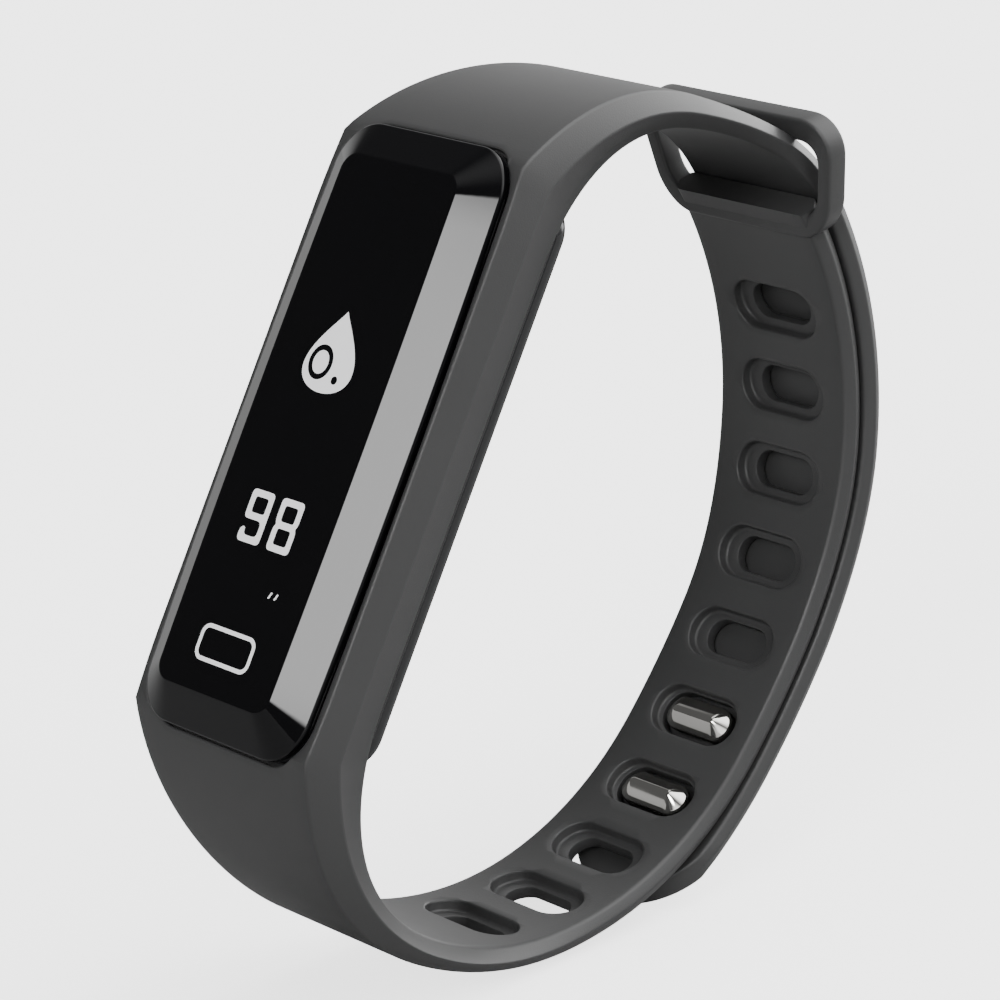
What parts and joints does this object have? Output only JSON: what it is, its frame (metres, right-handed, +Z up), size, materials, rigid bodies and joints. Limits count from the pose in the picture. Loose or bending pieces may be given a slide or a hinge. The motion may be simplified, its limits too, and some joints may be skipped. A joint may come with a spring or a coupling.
{
  "type": "fitness tracker band",
  "caption": "Wrist fitness tracker: a gloss capsule with a touch display snapped into a black rubber strap closed by a steel stud clasp and keeper loop.",
  "frame": {"origin": "middle of the wrist opening, on the strap's centre line", "axes": "+Z up as the band stands; +Y across the strap; the screen faces -X and leans back 28 degrees, so its outward normal is (-0.883, 0, 0.469)"},
  "size_m": [0.0648, 0.0208, 0.0676],
  "materials": {
    "strap_rubber": "satin soft-touch black silicone",
    "cover_glass": "polished black cover glass, opaque ink behind, clear over the display",
    "clasp_steel": "polished steel",
    "capsule_black": "gloss black moulded plastic",
    "lens_dark": "dark clear lens over the pulse sensor",
    "contact_gold": "gold-plated contact pads",
    "adhesive": "black foam tape",
    "seal": "grey silicone seal",
    "display": "OLED panel",
    "flex_film": "amber polyimide film with copper",
    "chassis": "grey moulded plastic",
    "board_green": "solder-masked circuit board",
    "chip_black": "moulded chip packages",
    "ceramic": "white ceramic and clear resin",
    "connector": "ivory connector moulding",
    "steel": "plain steel",
    "battery_foil": "foil pouch",
    "lead_red": "insulated leads"
  },
  "bodies": {
    "strap": {"strap_body": "strap_rubber"},
    "tail": {"strap_tail": "strap_rubber", "clasp_plate": "clasp_steel", "clasp_studs": "clasp_steel"},
    "capsule": {"front_glass": "cover_glass", "front_frame": "capsule_black", "housing": "capsule_black", "rear_cover": "capsule_black", "sensor_lens": "lens_dark", "charging_contacts": "contact_gold", "lens_adhesive": "adhesive", "battery_pad": "adhesive", "housing_seal": "seal", "display_panel": "display", "display_flex": "flex_film", "touch_pad": "flex_film", "inner_chassis": "chassis", "main_board": "board_green", "sensor_board": "board_green", "processor_chip": "chip_black", "memory_chip": "chip_black", "motion_sensor_chip": "chip_black", "charger_chip": "chip_black", "light_sensor": "chip_black", "radio_antenna": "ceramic", "green_leds": "ceramic", "display_connector": "connector", "board_screws": "steel", "motor_base": "steel", "motor_cover": "steel", "motor_shaft": "steel", "motor_magnet": "steel", "battery_cell": "battery_foil", "battery_leads": "lead_red"},
    "rotor": {"vibration_weight": "steel"}
  },
  "joints": [
    {"name": "clasp_lift", "type": "slide", "parent": "strap", "child": "tail", "axis": [0.7173, 0, -0.6968], "range_m": [0, 0.005]},
    {"name": "capsule_release", "type": "slide", "parent": "strap", "child": "capsule", "axis": [-0.8829, 0, 0.4695], "range_m": [0, 0.014]},
    {"name": "vibration_spin", "type": "hinge", "parent": "capsule", "child": "rotor", "pos_m": [-0.0151, 0, 0.02208], "axis": [0.8829, 0, -0.4695], "continuous": true}
  ]
}
